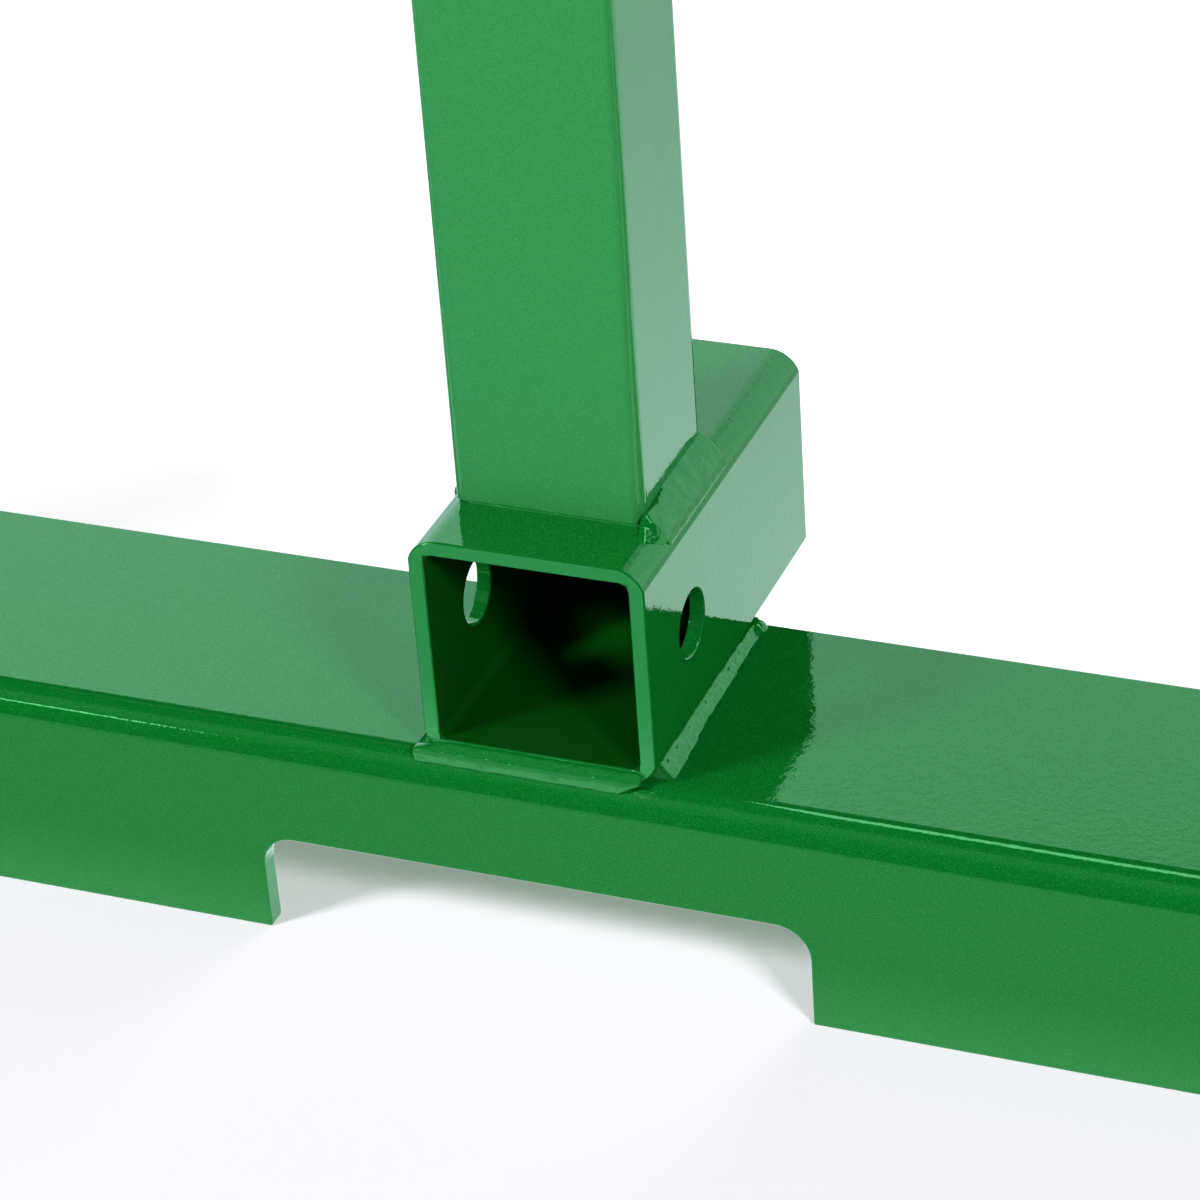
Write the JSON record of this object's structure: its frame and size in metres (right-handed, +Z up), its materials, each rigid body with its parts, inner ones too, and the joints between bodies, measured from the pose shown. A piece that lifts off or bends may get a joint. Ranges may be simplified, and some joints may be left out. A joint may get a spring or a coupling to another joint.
{
  "type": "pallet fork frame",
  "caption": "Welded steel frame that carries pallet forks on a front loader, with folded rails, a receiver tube for a hitch and hook-and-pin loader brackets.",
  "frame": {"origin": "on the ground, under the middle of the frame's box", "axes": "+X to the right along the rails, seen from the forks' side, +Y to the rear towards the loader, +Z up"},
  "size_m": [1.07, 0.1876, 0.407],
  "materials": {
    "green_paint": "gloss powder coat with fine metallic fleck",
    "weld_paint": "gloss powder coat over rippled weld metal"
  },
  "bodies": {
    "root": {"lower_rail": "green_paint", "upper_rail": "green_paint", "receiver": "green_paint", "receiver_end_plate": "green_paint", "centre_post": "green_paint", "left_post": "green_paint", "right_post": "green_paint", "left_outer_hook_plate": "green_paint", "left_inner_hook_plate": "green_paint", "right_inner_hook_plate": "green_paint", "right_outer_hook_plate": "green_paint", "left_pin_bush": "green_paint", "right_pin_bush": "green_paint", "left_tie_plate": "green_paint", "right_tie_plate": "green_paint", "lower_left_end_plate": "green_paint", "lower_right_end_plate": "green_paint", "upper_left_end_plate": "green_paint", "upper_right_end_plate": "green_paint", "receiver_side_welds": "weld_paint", "receiver_front_weld": "weld_paint", "centre_post_foot_weld": "weld_paint", "centre_post_top_weld": "weld_paint", "left_post_welds": "weld_paint", "right_post_welds": "weld_paint", "left_hook_welds": "weld_paint", "right_hook_welds": "weld_paint", "left_bush_welds": "weld_paint", "right_bush_welds": "weld_paint", "lower_end_welds": "weld_paint", "upper_end_welds": "weld_paint"}
  },
  "joints": []
}
